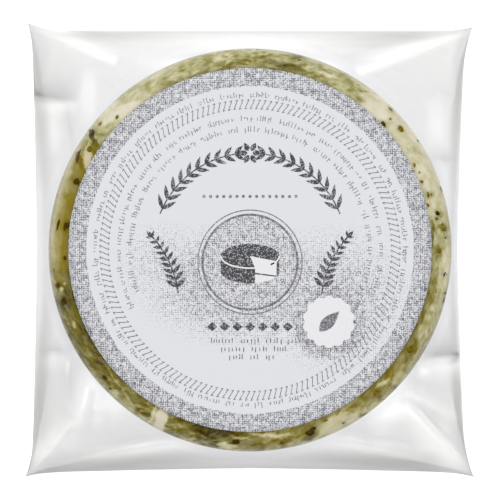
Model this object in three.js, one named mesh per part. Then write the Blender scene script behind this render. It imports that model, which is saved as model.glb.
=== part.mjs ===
// A crottin, a flat round of soft cheese with herbs, sealed in a clear film pouch with a round label on top.
// Millimetres, +Z up. The origin lies under the middle of the pouch, on the surface that it rests on.
import * as THREE from 'three';

// The cheese inside the film
const CHEESE_RADIUS = 40;
const SHOULDER = 4; // rounding of the cheese's top and bottom edges
const POUCH_HEIGHT = 25; // the cheese and the film above and below it

// The label, stuck to the flat top of the pouch
const LABEL_RADIUS = 36;
const LABEL_THICKNESS = 0.25;

// The sealed edge, anticlockwise. The corner tips start at the far right, and the sides at the right: where the
// middle of each lies, drawn in by the cheese's thickness, and how far it bows out on the way to its tips.
const TIPS = [
  new THREE.Vector3(44.5, 44.5, 8.2),
  new THREE.Vector3(-44.4, 45.4, 8.8),
  new THREE.Vector3(-44.8, -45.2, 7.2),
  new THREE.Vector3(44.7, -45.3, 7.6),
];
const SIDES = [
  { middle: 41.3, bow: 1.6 },
  { middle: 43.6, bow: 0 },
  { middle: 42.4, bow: 1 },
  { middle: 43.4, bow: 1 },
];
const BOW_POWER = 1.3; // a little above a straight line to either tip
const FLARE_POWER = 16; // keeps the flare within the last few millimetres before a tip
const DROOP_POWER = 4; // spreads the droop of the tips further along the sides
const SEAL_HEIGHT = 11.5; // of the seal at the middle of a side
const SEAL_THICKNESS = 0.8;

// The film between the cheese's shoulder and the seal. It falls as a plane to each side and as a cone to each tip.
const FILM_STAND_OFF = 0.6; // beyond the cheese's side, where the film turns down
const WALL_LIFT = 0.6; // how high the film keeps on its way down to a near seal
const TENT_LIFT = 0.3; // and to a far one, where it is stretched like a tent
const TIP_POWER = 2.6; // how closely the film's lines gather at the tips
const LEAVE_SHARE = 0.3; // how evenly they leave the cheese, where the rest gathers at the middles of the sides

// Folds in the film, each along a line in plan. A ridge has a height above nought, and a crease below it.
const FOLDS = [
  { from: [-43.6, 44.6], to: [-24.5, 35.2], height: 1.3, width: 2 },
  { from: [43.8, 43.8], to: [21.9, 34.4], height: 1.3, width: 2 },
  { from: [-43.6, 31.7], to: [-33.5, 29.2], height: -1, width: 1.6 },
  { from: [42.6, 18], to: [34, 18], height: -0.9, width: 1.6 },
  { from: [42.6, -20.4], to: [33.5, -21.2], height: -1, width: 1.6 },
  { from: [-43.4, -20.4], to: [-34.4, -19.8], height: -0.7, width: 1.6 },
  { from: [-35, -34.8], to: [-31, -24.6], height: 0.8, width: 1.6 },
  { from: [-37.6, -43.4], to: [-15, -37.6], height: -0.8, width: 1.7 },
  { from: [34.5, -41.2], to: [15.6, -36.6], height: -0.8, width: 1.7 },
  { from: [43.4, -43.4], to: [31, -29.4], height: -0.9, width: 1.8 },
  { from: [41.2, -32.8], to: [30.8, -26.9], height: -0.7, width: 1.6 },
];
const UNDER_SHARE = 0.5; // of each fold's height on the underside, where the film lies tighter

// Fineness of the mesh
const STEPS_PER_SIDE = 30;
const FLAT_RINGS = 3;
const FILM_RINGS = 11;
const LABEL_SEGMENTS = 96;

const FLAT_RADIUS = CHEESE_RADIUS - SHOULDER;
const FARTHEST_REACH = Math.hypot(TIPS[2].x, TIPS[2].y) - CHEESE_RADIUS;

const filmMaterial = new THREE.MeshStandardMaterial({ name: 'clear_film', color: 0xe4e5e6, roughness: 0.15 });
const labelMaterial = new THREE.MeshStandardMaterial({ name: 'label_paper', color: 0xd9d9dd, roughness: 0.7 });

// A line down the film at a share of the way round, anticlockwise from the near right tip: the point of the
// sealed edge where it ends, and the direction in which it leaves the cheese
function filmLine(share) {
  const whole = share * SIDES.length;
  const index = Math.floor(whole) % SIDES.length;
  const side = SIDES[index];
  const turn = (index * Math.PI) / 2;
  const step = 2 * (whole - Math.floor(whole)) - 1; // from -1 at one tip to 1 at the next
  const place = 1 - (1 - Math.abs(step)) ** TIP_POWER;
  const tip = TIPS[step < 0 ? (index + SIDES.length - 1) % SIDES.length : index];
  const flatTip = new THREE.Vector2(tip.x, tip.y).rotateAround(new THREE.Vector2(), -turn);
  const bowed = side.middle + side.bow * place ** BOW_POWER;
  const flare = (flatTip.x - side.middle - side.bow) * place ** FLARE_POWER;
  const plan = new THREE.Vector2(bowed + flare, place * flatTip.y).rotateAround(new THREE.Vector2(), turn);
  const droop = (SEAL_HEIGHT - tip.z) * place ** DROOP_POWER;
  const swing = (Math.PI / 4) * (LEAVE_SHARE * step + (1 - LEAVE_SHARE) * step ** 3);
  return {
    seal: new THREE.Vector3(plan.x, plan.y, SEAL_HEIGHT - droop),
    leave: new THREE.Vector3(Math.cos(turn + swing), Math.sin(turn + swing), 0),
  };
}

// Height that the folds add to the film at a point, each fading out towards both ends of its line
function foldHeight(point) {
  let height = 0;
  for (const fold of FOLDS) {
    const start = new THREE.Vector2(...fold.from);
    const line = new THREE.Vector2(...fold.to).sub(start);
    const offset = new THREE.Vector2(point.x, point.y).sub(start);
    const along = THREE.MathUtils.clamp(offset.dot(line) / line.lengthSq(), 0, 1);
    const away = line.cross(offset) / line.length();
    height += fold.height * Math.exp(-((away / fold.width) ** 2)) * Math.sin(along * Math.PI);
  }
  return height;
}

// A point of the film on one of its lines. The share runs from 0 on the flat face's rim to 1 at the seal, and up is 1
// for the upper film and -1 for the lower one.
function filmPoint({ seal, leave }, share, up) {
  const face = new THREE.Vector3(0, 0, up > 0 ? POUCH_HEIGHT : 0);
  const edge = seal.clone().setZ(seal.z + (up * SEAL_THICKNESS) / 2);
  const rim = face.clone().addScaledVector(leave, CHEESE_RADIUS);
  const reach = Math.hypot(edge.x - rim.x, edge.y - rim.y);
  const lift = THREE.MathUtils.lerp(WALL_LIFT, TENT_LIFT, Math.min(1, reach / FARTHEST_REACH));
  const fall = rim.clone().lerp(edge, 0.5).setZ(THREE.MathUtils.lerp(edge.z, face.z, lift));
  const point = new THREE.CubicBezierCurve3(
    face.clone().addScaledVector(leave, FLAT_RADIUS),
    face.clone().addScaledVector(leave, CHEESE_RADIUS + FILM_STAND_OFF),
    fall,
    edge,
  ).getPoint(share);
  const fold = foldHeight(point) * Math.sin(share * Math.PI) * (up > 0 ? 1 : UNDER_SHARE);
  return point.setZ(point.z + up * fold);
}

// The rings of one sheet of film from its middle to the seal. Each is a share of the flat face, then of the film.
function sheetRings() {
  const rings = [];
  for (let i = 0; i < FLAT_RINGS; i++) rings.push({ flat: i / FLAT_RINGS, film: 0 });
  for (let i = 0; i <= FILM_RINGS; i++) rings.push({ flat: 1, film: i / FILM_RINGS });
  return rings;
}

// The pouch is a lathed disc of two sheets whose rings are then laid over the cheese and out to the seal
function makePouch() {
  const rings = sheetRings();
  const sheets = [
    ...rings.map((ring) => ({ ...ring, up: -1 })),
    ...rings.toReversed().map((ring) => ({ ...ring, up: 1 })),
  ];
  const segments = SIDES.length * STEPS_PER_SIDE;
  const outline = sheets.map((ring) => new THREE.Vector2(ring.flat + ring.film, ring.up));
  const geometry = new THREE.LatheGeometry(outline, segments);
  const position = geometry.getAttribute('position');
  for (let step = 0; step <= segments; step++) {
    const line = filmLine((step % segments) / segments);
    sheets.forEach((ring, index) => {
      const point = filmPoint(line, ring.film, ring.up);
      position.setXYZ(step * sheets.length + index, point.x * ring.flat, point.y * ring.flat, point.z);
    });
  }
  geometry.computeVertexNormals();
  const pouch = new THREE.Mesh(geometry, filmMaterial);
  pouch.name = 'pouch';
  return pouch;
}

function makeLabel() {
  const geometry = new THREE.CylinderGeometry(LABEL_RADIUS, LABEL_RADIUS, LABEL_THICKNESS, LABEL_SEGMENTS);
  geometry.rotateX(Math.PI / 2);
  const label = new THREE.Mesh(geometry, labelMaterial);
  label.name = 'label';
  label.position.z = POUCH_HEIGHT + LABEL_THICKNESS / 2;
  return label;
}

const crottin = new THREE.Group();
crottin.add(makePouch(), makeLabel());

export default crottin;
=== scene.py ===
"""A crottin, a flat round of soft cheese with herbs, in a clear film pouch with a round paper label."""

import math
import random

import bpy
import numpy as np
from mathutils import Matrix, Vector, noise


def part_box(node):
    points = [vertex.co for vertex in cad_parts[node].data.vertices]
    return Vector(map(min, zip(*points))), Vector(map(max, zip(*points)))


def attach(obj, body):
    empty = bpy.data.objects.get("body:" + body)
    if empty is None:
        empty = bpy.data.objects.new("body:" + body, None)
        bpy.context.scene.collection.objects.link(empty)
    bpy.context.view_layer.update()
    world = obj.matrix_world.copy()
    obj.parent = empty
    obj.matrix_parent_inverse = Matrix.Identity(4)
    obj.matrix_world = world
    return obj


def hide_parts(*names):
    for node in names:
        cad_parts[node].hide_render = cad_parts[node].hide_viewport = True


bl_info = {
    "name": "Crottin in a clear pouch",
    "version": (1, 0, 0),
    "blender": (4, 5, 0),
    "location": "3D View > Sidebar > Crottin",
    "description": "Builds a herbed soft cheese round, its film pouch, its label and a plain stage",
    "category": "Add Mesh",
}

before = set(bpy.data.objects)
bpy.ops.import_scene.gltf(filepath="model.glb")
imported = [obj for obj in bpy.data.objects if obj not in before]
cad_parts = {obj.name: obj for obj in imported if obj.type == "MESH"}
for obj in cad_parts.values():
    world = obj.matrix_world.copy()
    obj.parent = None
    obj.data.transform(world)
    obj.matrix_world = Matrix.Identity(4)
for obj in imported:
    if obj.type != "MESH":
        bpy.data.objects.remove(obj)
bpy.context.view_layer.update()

MM = 0.001
POUCH_LOW, POUCH_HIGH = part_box("pouch")
LABEL_LOW, LABEL_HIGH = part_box("label")

# The sealed edge, anticlockwise, in millimetres. The tips start at the far right and the sides at the right, each
# with the place of its middle, how far it bows out on the way to its tips, and how wide and how dark the painted
# shade on its steep edge is.
TIPS = ((44.5, 44.5, 8.2), (-44.4, 45.4, 8.8), (-44.8, -45.2, 7.2), (44.7, -45.3, 7.6))
SIDES = ((41.3, 1.6, 3.2, 0.5), (43.6, 0.0, 2.8, 0.3), (42.4, 1.0, 4.8, 0.4), (43.4, 1.0, 5.6, 0.7))
BOW_POWER = 1.3  # a little above a straight line to either tip
FLARE_POWER = 16  # keeps the flare within the last few millimetres before a tip
DROOP_POWER = 4  # spreads the droop of the tips further along the sides

# The film falls as a plane to each side and as a cone to each tip
WALL_LIFT, TENT_LIFT = 0.6, 0.3  # how high it keeps on the way down to a near seal and to a far one
TIP_POWER = 2.6  # how closely its lines gather at the tips
LEAVE_SHARE = 0.3  # how evenly they leave the cheese
FILM_INSET = 0.03  # millimetres that it keeps inside the top and bottom of the pouch's solid
UNDER_SHARE = 0.5  # of each fold's height on the underside, where the film lies tighter
FILM_STEPS = 216  # lines down the film for each side
UPPER_RINGS, LOWER_RINGS, FLAT_RINGS = 72, 36, 4  # of the two sheets and of their flat faces

# Folds of the film in millimetres: start, end, height, and width to the left and to the right of the way there.
# A ridge is round and has a height above nought. A crease is sharp and has one below it.
FOLDS = (
    ((-44.0, 45.0), (-27.0, 36.7), 0.9, 2.0, 0.8),
    ((44.2, 44.0), (21.4, 34.4), 0.9, 0.8, 2.0),
    ((-46.4, 31.6), (-33.6, 29.4), -1.8, 2.6, 0.5),
    ((-43.4, 29.6), (-33.8, 28.0), 0.6, 0.8, 1.8),
    ((-39.4, 29.0), (-38.2, 18.0), 0.4, 1.6, 1.6),
    ((-36.6, 30.0), (-34.8, 17.0), -0.5, 0.9, 0.9),
    ((-32.2, 36.4), (-32.2, 24.0), 0.45, 1.5, 1.5),
    ((36.6, 30.4), (36.8, 18.2), 0.45, 1.5, 1.5),
    ((43.4, 29.8), (37.4, 31.4), -0.4, 1.2, 1.2),
    ((43.4, 18.0), (34.0, 17.8), -0.8, 1.2, 1.6),
    ((44.8, -20.6), (33.2, -21.0), -1.6, 0.5, 2.6),
    ((43.6, -22.4), (33.0, -22.8), 0.7, 2.4, 0.9),
    ((-44.0, -19.8), (-34.6, -19.8), -0.8, 1.6, 0.8),
    ((-41.8, -21.6), (-35.2, -21.6), 0.4, 0.8, 2.0),
    ((-35.8, -21.0), (-35.6, -30.0), -0.4, 0.8, 0.8),
    ((-31.6, -22.6), (-34.8, -36.4), 0.6, 1.9, 1.9),
    ((-43.6, -43.8), (-35.0, -33.6), 0.7, 2.2, 0.8),
    ((-38.8, -42.8), (-8.0, -36.8), 0.45, 0.9, 1.5),
    ((-36.0, -40.0), (-12.0, -35.2), -0.3, 1.4, 0.9),
    ((35.5, -41.2), (11.0, -36.2), 0.3, 1.5, 0.9),
    ((33.0, -38.8), (17.0, -34.9), -0.3, 0.9, 1.4),
    ((43.8, -44.0), (30.8, -29.4), 0.9, 3.4, 0.7),
    ((44.2, -42.4), (32.6, -30.2), -0.5, 0.6, 1.8),
    ((31.8, -25.4), (23.2, -38.2), 0.6, 2.6, 2.6),
    ((42.2, -34.2), (31.0, -27.3), 0.5, 1.4, 1.2),
    ((31.8, 42.4), (15.4, 36.8), -0.25, 1.4, 1.4),
)

# Rings down the cheese: on its flat top, round the shoulder, down the wall, round the lower edge and below
TOP_RINGS, SHOULDER_STEPS, WALL_STEPS, LOWER_STEPS, UNDER_RINGS = 7, 24, 18, 14, 20
CHEESE_AROUND = 1080
FLECK_RISE, FLECK_SINK = 0.13, 0.08  # of a fleck's middle above and below the curd, in millimetres

# Points round the label and rings across it
LABEL_AROUND, LABEL_RINGS = 288, 24

CURD_SEED, HERB_SEED, PRINT_SEED = 23, 41, 7

# How far the herb oil has soaked in round the cheese: angle in degrees from the right, anticlockwise, share at the
# side and how much darker and more olive the curd is made beside the label
OIL = (
    (0, 0.35, 0.12), (14, 0.20, 0.0), (50, 0.18, 0.0), (58, 0.40, 0.03), (90, 0.45, 0.08), (105, 0.38, 0.04),
    (125, 0.32, 0.0), (134, 0.10, 0.0), (142, 0.30, 0.10), (152, 0.24, 0.46), (165, 0.20, 0.48),
    (182, 0.22, 0.46), (193, 0.58, 0.40), (210, 0.66, 0.22), (225, 0.54, 0.20), (238, 0.45, 0.16),
    (248, 0.58, 0.22), (258, 0.66, 0.34), (270, 0.55, 0.12), (286, 0.44, 0.14), (300, 0.32, 0.18),
    (315, 0.50, 0.18), (330, 0.48, 0.16), (345, 0.40, 0.20), (360, 0.35, 0.12),
)
# Where that oil is yellow rather than green: angle in degrees and share
YELLOW = (
    (0, 0.1), (60, 0.1), (142, 0.1), (152, 0.9), (184, 1.0), (194, 0.2), (262, 0.2), (276, 0.6), (292, 0.5),
    (320, 0.7), (334, 0.2), (346, 0.4), (360, 0.1),
)

# Marks in the curd of the shoulder: angle in degrees, distance from the middle, length and width in millimetres,
# slant in degrees from along the rim, turning outwards, and how far the oil has soaked in there
MARKS = (
    (57.0, 37.6, 5.0, 0.5, 30, 0.50), (54.0, 38.6, 4.0, 0.5, 25, 0.44), (58.5, 39.0, 3.0, 0.5, 10, 0.50),
    (47.0, 37.6, 8.0, 3.0, 15, 0.05), (8.0, 38.6, 11.0, 2.4, 0, 0.30), (20.0, 37.9, 5.5, 0.5, -10, 0.38),
    (23.0, 37.4, 7.0, 1.8, 0, 0.12), (5.5, 36.3, 6.0, 0.5, -3, 0.70), (79.5, 37.3, 10.0, 1.3, -3, 0.76),
    (77.0, 39.2, 4.0, 0.9, 0, 0.56), (94.0, 37.3, 6.0, 0.5, 12, 0.60), (104.0, 38.9, 2.5, 0.4, -12, 0.58),
    (101.7, 38.1, 0.9, 0.4, -10, 0.70), (99.0, 38.2, 3.0, 0.8, 0, 0.15), (85.0, 39.2, 5.0, 0.4, 15, 0.20),
    (66.0, 38.0, 5.0, 0.5, 8, 0.18), (112.0, 39.4, 6.0, 0.4, -4, 0.20), (110.0, 38.2, 2.4, 1.0, 70, 0.44),
    (168.0, 39.8, 18.0, 0.8, 0, 0.24), (172.5, 36.7, 3.0, 1.2, 0, 0.90), (158.5, 37.0, 1.5, 1.4, 60, 0.90),
    (152.5, 37.9, 4.0, 1.2, 42, 0.84), (150.0, 37.1, 5.5, 1.8, 25, 0.05), (144.5, 38.2, 4.0, 0.9, 64, 0.94),
    (142.5, 37.2, 1.2, 0.6, -60, 0.60), (133.0, 37.4, 10.0, 2.2, -14, 0.04),
    (124.0, 38.8, 12.0, 2.0, -14, 0.32), (239.6, 38.0, 4.0, 0.6, 90, 0.10), (232.0, 38.0, 6.0, 0.6, -20, 0.66),
    (228.0, 37.6, 6.0, 0.5, -15, 0.38), (214.0, 38.2, 8.0, 0.5, -15, 0.52), (222.0, 38.5, 2.2, 0.7, 5, 0.82),
    (226.8, 38.5, 0.9, 0.7, 0, 0.30), (205.4, 38.6, 2.6, 1.9, -20, 0.76), (201.0, 36.8, 5.0, 0.9, 10, 0.84),
    (203.0, 37.7, 1.6, 0.9, 0, 0.44), (195.4, 38.4, 2.4, 1.8, 0, 0.94), (196.0, 36.9, 3.2, 1.2, 0, 0.84),
    (190.5, 38.7, 0.9, 0.7, 60, 0.90), (191.7, 37.9, 1.0, 0.7, 0, 0.26), (190.0, 37.4, 0.8, 0.5, 0, 0.34),
    (186.0, 39.6, 9.0, 0.8, 0, 0.24), (296.0, 38.4, 8.0, 3.0, 0, 0.14), (288.5, 36.5, 4.0, 0.8, -6, 0.62),
    (286.6, 38.7, 4.6, 1.6, 4, 0.66), (287.8, 38.7, 2.8, 1.4, 5, 0.94), (283.0, 39.2, 3.5, 0.9, 10, 0.30),
    (282.0, 38.3, 3.6, 0.5, 12, 0.82), (276.5, 37.0, 9.0, 0.5, -8, 0.05), (277.3, 37.9, 1.4, 0.5, 10, 0.85),
    (272.0, 38.8, 4.5, 1.7, -5, 0.62), (267.0, 37.3, 4.0, 0.7, -8, 0.22), (265.6, 38.2, 1.9, 0.9, 0, 0.92),
    (262.5, 39.1, 4.5, 1.0, 0, 0.22), (257.0, 38.0, 5.5, 1.4, -5, 0.88), (255.8, 37.7, 0.9, 0.6, 0, 0.30),
    (248.5, 38.0, 5.0, 2.6, 8, 0.68), (242.2, 38.0, 4.8, 2.6, -70, 0.03), (352.0, 38.7, 10.0, 2.2, 0, 0.18),
    (357.5, 37.1, 1.4, 0.7, -10, 0.62), (348.3, 36.8, 1.4, 0.8, 0, 0.62), (346.0, 38.6, 5.0, 0.7, 12, 0.40),
    (337.0, 38.2, 9.0, 2.4, 5, 0.36), (337.0, 36.2, 5.0, 0.5, 0, 0.76), (326.0, 37.7, 4.8, 1.8, 20, 0.60),
    (319.0, 38.7, 3.5, 1.6, 0, 0.28), (317.0, 36.6, 1.6, 0.8, 30, 0.78), (314.5, 37.2, 3.0, 0.9, -10, 0.07),
    (310.4, 38.0, 1.0, 0.7, 0, 0.70), (307.0, 38.4, 2.4, 1.6, 0, 0.50), (307.8, 37.0, 1.6, 0.9, -20, 0.92),
    (301.0, 38.9, 2.5, 1.5, 0, 0.10),
)

# Marks scattered over the side and the underside, and how far the oil may have soaked in there
SIDE_MARKS = 150
SIDE_SOAKS = (0.08, 0.3, 0.6, 0.85)

# Where the noises lie that let the bounds of all marks wander
WANDER = (Vector((11, 4, 7)), Vector((3, 17, 9)))

# The larger flecks on the shoulder: angle in degrees, distance from the middle, length and width in millimetres, kind
LEAF, DARK, SPICE = "herb_leaf_flecks", "herb_dark_flecks", "spice_flecks"
NOTED_FLECKS = (
    (45.0, 39.4, 1.0, 0.6, LEAF), (43.4, 36.4, 1.2, 0.8, DARK), (43.0, 38.0, 0.4, 0.4, SPICE),
    (38.7, 38.2, 1.2, 0.9, LEAF), (33.1, 39.6, 0.6, 0.4, LEAF), (27.2, 36.6, 0.8, 0.4, SPICE),
    (24.6, 36.8, 0.4, 0.3, SPICE), (21.6, 36.6, 0.6, 0.5, SPICE), (17.2, 37.0, 1.0, 0.4, LEAF),
    (17.6, 39.7, 0.9, 0.4, DARK), (14.1, 36.4, 0.7, 0.5, SPICE), (11.2, 37.9, 1.0, 0.8, DARK),
    (9.5, 37.4, 0.4, 0.4, DARK), (6.6, 38.5, 1.4, 1.2, LEAF), (3.6, 38.9, 0.4, 0.4, DARK),
    (-0.3, 37.4, 1.0, 0.6, LEAF), (-7.2, 38.7, 1.0, 0.4, DARK), (-12.4, 39.6, 0.6, 0.6, DARK),
    (-14.5, 39.7, 1.0, 0.4, DARK), (-32.0, 37.2, 1.8, 1.4, LEAF), (-43.5, 39.6, 0.6, 0.6, SPICE),
    (-48.5, 38.9, 0.9, 0.7, SPICE), (-48.2, 37.8, 1.2, 0.8, LEAF), (-56.1, 37.1, 0.7, 0.5, SPICE),
    (-61.6, 39.1, 0.6, 0.5, LEAF), (-66.0, 36.8, 0.8, 0.5, SPICE), (-71.9, 38.0, 1.5, 1.1, DARK),
    (-70.6, 37.4, 1.2, 0.8, DARK), (-80.7, 38.9, 0.8, 0.6, DARK), (-88.0, 38.6, 2.4, 0.7, LEAF),
    (-94.1, 38.0, 1.6, 1.0, DARK), (-100.2, 39.2, 1.2, 0.5, DARK), (-104.0, 37.6, 2.2, 0.7, DARK),
    (-123.0, 38.6, 2.4, 0.6, LEAF), (-138.8, 38.3, 1.0, 0.8, DARK), (-144.2, 36.6, 0.8, 0.8, SPICE),
    (-164.5, 38.4, 1.5, 1.3, DARK), (-169.6, 38.5, 0.8, 0.8, DARK), (-174.0, 39.1, 0.8, 0.4, LEAF),
    (-177.5, 36.6, 0.8, 0.6, DARK), (172.4, 38.4, 1.9, 0.5, DARK), (172.5, 36.7, 1.6, 1.0, DARK),
    (158.5, 36.9, 1.2, 1.2, DARK), (151.0, 38.8, 2.6, 0.6, DARK), (147.8, 37.6, 1.2, 1.0, LEAF),
    (143.5, 39.1, 1.3, 1.2, DARK), (139.9, 38.8, 0.8, 0.7, SPICE), (135.1, 37.1, 0.8, 0.6, LEAF),
)

# Strip lights round the stage: name, direction in degrees and share of their power
STRIPS = (
    ("far_right_strip", 73, 1.8),
    ("far_left_strip", 107, 1.8),
    ("left_strip", 172, 0.1),
    ("near_left_strip", 228, 1.6),
    ("near_right_strip", 312, 1.6),
    ("right_strip", 8, 0.1),
)


def srgb(code):
    """The linear colour of an sRGB hex code, such as "e2dab4"."""
    values = [int(code[i : i + 2], 16) / 255 for i in (0, 2, 4)]
    return tuple(v / 12.92 if v <= 0.04045 else ((v + 0.055) / 1.055) ** 2.4 for v in values)


def rgba(colour):
    """A colour property as the four numbers of a colour socket."""
    return (*colour, 1.0)


def size(name, description, millimetres):
    """A length property."""
    return bpy.props.FloatProperty(
        name=name, description=description, default=millimetres * MM, unit="LENGTH", precision=5
    )


def share(name, description, default):
    """A property from nought to one."""
    return bpy.props.FloatProperty(
        name=name, description=description, default=default, min=0, max=1, subtype="FACTOR"
    )


def strength(name, description, default, unit="POWER"):
    """A property for the strength of a light."""
    return bpy.props.FloatProperty(name=name, description=description, default=default, min=0, unit=unit)


def colour(name, description, code):
    """A colour property."""
    return bpy.props.FloatVectorProperty(
        name=name, description=description, default=srgb(code), size=3, min=0, max=1, subtype="COLOR"
    )


class CrottinCheeseSettings(bpy.types.PropertyGroup):
    """Sizes and colours of the cheese and its herbs"""

    radius: size("Radius", "Radius of the cheese at its side", 40.4)
    shoulder: size("Shoulder", "Rounding of the top and bottom edges", 4.7)
    clearance: size("Clearance", "Gap between the cheese and the film above and below it", 0.3)
    relief: size("Relief", "Unevenness of the curd", 0.15)
    cream: colour("Cream", "Curd that no oil has reached", "f6f0d9")
    straw: colour("Straw", "Curd with a little herb oil", "d1cd9c")
    olive: colour("Olive", "Curd soaked with herb oil", "83792b")
    dark: colour("Dark olive", "Curd with crushed herbs in it", "2f2703")
    butter: colour("Butter yellow", "Curd where the oil is yellow", "b3982a")
    moss: colour("Moss green", "Curd coloured by fresh herbs", "857c14")
    veil: colour("Veil", "Thin whey over the oiled curd", "aeac88")
    leaf: colour("Leaf", "Olive herb flecks", "9a8912")
    dark_leaf: colour("Dark leaf", "Dark herb flecks", "5c4806")
    deep_leaf: colour("Deep leaf", "Darkest tone of the dark herb flecks", "382b02")
    spice: colour("Spice", "Rust brown flecks", "a27f3c")
    deep_spice: colour("Deep spice", "Darkest tone of the rust brown flecks", "7c5c24")
    scatter: bpy.props.IntProperty(
        name="Flecks", description="Flecks scattered over the side and the underside", default=420, min=0
    )


class CrottinFilmSettings(bpy.types.PropertyGroup):
    """Sizes and finish of the film pouch"""

    seal_height: size("Seal height", "Height of the seal at the middle of a side", 11.5)
    seal_thickness: size("Seal thickness", "Thickness of the two sheets at the seal", 0.3)
    radius: size("Radius", "Radius at which the film turns down", 40.5)
    shoulder: size("Shoulder", "Width of that turn", 4.5)
    edge: size("Edge", "Radius at which the film leaves the wet curd", 39.85)
    stand_off: size("Stand-off", "Gap to the cheese's side, where the film turns down", 0.6)
    crumple: size("Crumple", "Height of the small unevenness of the loose film", 0.1)
    tint: colour("Tint", "What the film lets through", "f2f2f2")
    haze_colour: colour("Haze", "Milky light that the loose film gives back", "eaeaec")
    # Stress whitening along the ridges, whose white also paints in their highlights
    ridge_whitening_and_highlight: colour("Ridge", "Film stretched white along a ridge", "ffffff")
    # Painted shade in the creases and on the steep film beside the sealed edge
    crease_and_edge_shade_colour: colour("Seal", "Milky light that creases and the sealed edge give back", "b4b4b7")
    haze: share("Haze share", "How milky the loose film is", 0.92)
    veil: share("Veil", "How milky it is on the cheese's shoulder, beside the line where it leaves the curd", 0.15)
    slack_haze: share("Slack haze share", "How much of the haze is left from the seal down", 0.48)
    cling_haze: share("Clinging haze share", "How milky the film is where it lies wet on the cheese", 0.0)


class CrottinLabelSettings(bpy.types.PropertyGroup):
    """Sizes and colours of the label"""

    border: size("Border", "Width of the speckled border", 3.6)
    speck: size("Speck", "Size of the printed specks", 0.2)
    paper: colour("Paper", "Unprinted matt paper", "e2e3e7")
    tone: colour("Tone", "Specks of the printed tone fields", "66656d")
    black: colour("Black ink", "Ornaments", "3d3d42")
    grey: colour("Grey ink", "Fine rings and rules", "6b6b72")
    white: colour("White", "Light shapes in the medallion", "ebebee")


class CrottinStageSettings(bpy.types.PropertyGroup):
    """The floor, the light and the camera"""

    floor: colour("Floor", "Plain pale floor", "f4f4f4")
    frame_width: size("Frame width", "Width of the picture at the seal's height", 99.5)
    camera_height: size("Camera height", "Height of the camera above the floor", 2500)
    ambient: strength("Ambient", "Strength of the light from all round", 0.44, unit="NONE")
    key: strength("Key", "Power of the two soft boxes", 2.1)
    strip: strength("Strips", "Power of a strip light", 0.55)
    wash: strength("Wash", "Power of the wash over the floor", 11.0)


def add_node(tree, kind, inputs=None, output=0, **settings):
    """Adds a node with its settings and gives one of its outputs. An input is a value or the socket that feeds it."""
    node = tree.nodes.new("ShaderNode" + kind)
    for name, value in settings.items():
        setattr(node, name, value)
    for name, value in (inputs or {}).items():
        if isinstance(value, bpy.types.NodeSocket):
            tree.links.new(value, node.inputs[name])
        else:
            node.inputs[name].default_value = value
    return node.outputs[output]


def new_material(name):
    """A node material, its tree and the input that takes its surface."""
    material = bpy.data.materials.new(name)
    material.use_nodes = True
    tree = material.node_tree
    tree.nodes.clear()
    return material, tree, tree.nodes.new("ShaderNodeOutputMaterial").inputs["Surface"]


def make_piece(name, vertices, faces, material, smooth=True):
    """A mesh piece from points in millimetres that rides on the pack."""
    mesh = bpy.data.meshes.new(name)
    mesh.from_pydata([(x * MM, y * MM, z * MM) for x, y, z in vertices], [], faces)
    mesh.validate()
    mesh.polygons.foreach_set("use_smooth", [smooth] * len(mesh.polygons))
    mesh.materials.append(material)
    mesh.update()
    piece = bpy.data.objects.new(name, mesh)
    bpy.context.scene.collection.objects.link(piece)
    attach(piece, "root")
    return piece


def ring_faces(rings, around, start=0):
    """Quads between closed rings of points that follow each other in the list of vertices."""
    faces = []
    for ring in range(rings - 1):
        for step in range(around):
            a = start + ring * around + step
            b = start + ring * around + (step + 1) % around
            faces.append((a, b, b + around, a + around))
    return faces


def turned(x, y, turn, centre=(0, 0)):
    """A point turned about nought and moved to a centre."""
    return (
        centre[0] + x * math.cos(turn) - y * math.sin(turn),
        centre[1] + x * math.sin(turn) + y * math.cos(turn),
    )


def polar(radius, angle, centre=(0, 0)):
    """A point at a distance and an angle in radians from a centre."""
    return (centre[0] + radius * math.cos(angle), centre[1] + radius * math.sin(angle))


# Cheese


def cheese_profile(settings, under_rings=8):
    """Points down the cheese in millimetres: radius, height, and the outward and upward parts of its direction."""
    half_height, centre = cheese_levels(settings)
    radius, shoulder = settings.radius / MM, settings.shoulder / MM
    flat, wall = radius - shoulder, half_height - shoulder
    points = [(flat * step / (TOP_RINGS + 1), centre + half_height, 0.0, 1.0) for step in range(1, TOP_RINGS + 1)]
    for step in range(SHOULDER_STEPS + 1):
        turn = math.radians(90 * step / SHOULDER_STEPS)
        out, up = math.sin(turn), math.cos(turn)
        points.append((flat + shoulder * out, centre + half_height - shoulder + shoulder * up, out, up))
    points += [(radius, centre + wall * (1 - 2 * step / WALL_STEPS), 1.0, 0.0) for step in range(1, WALL_STEPS)]
    for step in range(LOWER_STEPS + 1):
        turn = math.radians(90 * step / LOWER_STEPS)
        out, up = math.cos(turn), -math.sin(turn)
        points.append((flat + shoulder * out, centre - wall + shoulder * up, out, up))
    points += [(flat * (1 - step / under_rings), centre - half_height, 0.0, -1.0) for step in range(1, under_rings)]
    return points


def curd_relief(point):
    """Unevenness of the curd at a point in millimetres, from about -1 to 1."""
    broad = noise.noise(Vector(point) * 0.16)
    lumps = noise.noise(Vector(point) * 0.55 + Vector((7, 3, 1)))
    grain = noise.noise(Vector(point) * 1.7 + Vector((2, 9, 5)))
    return 0.9 * broad + 0.6 * lumps + 0.3 * grain


def cheese_place(settings, angle, outline):
    """The point on the curd at an angle in radians and an outline point, with its outward direction."""
    radius, height, out, up = outline
    normal = Vector((math.cos(angle) * out, math.sin(angle) * out, up))
    point = Vector((math.cos(angle) * radius, math.sin(angle) * radius, height))
    return point + normal * (settings.relief / MM * curd_relief(point)), normal


def cheese_levels(settings):
    """Half the height of the cheese and the height of its middle, in millimetres."""
    low = POUCH_LOW[2] / MM + settings.clearance / MM
    high = POUCH_HIGH[2] / MM - settings.clearance / MM
    return (high - low) / 2, (high + low) / 2


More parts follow.
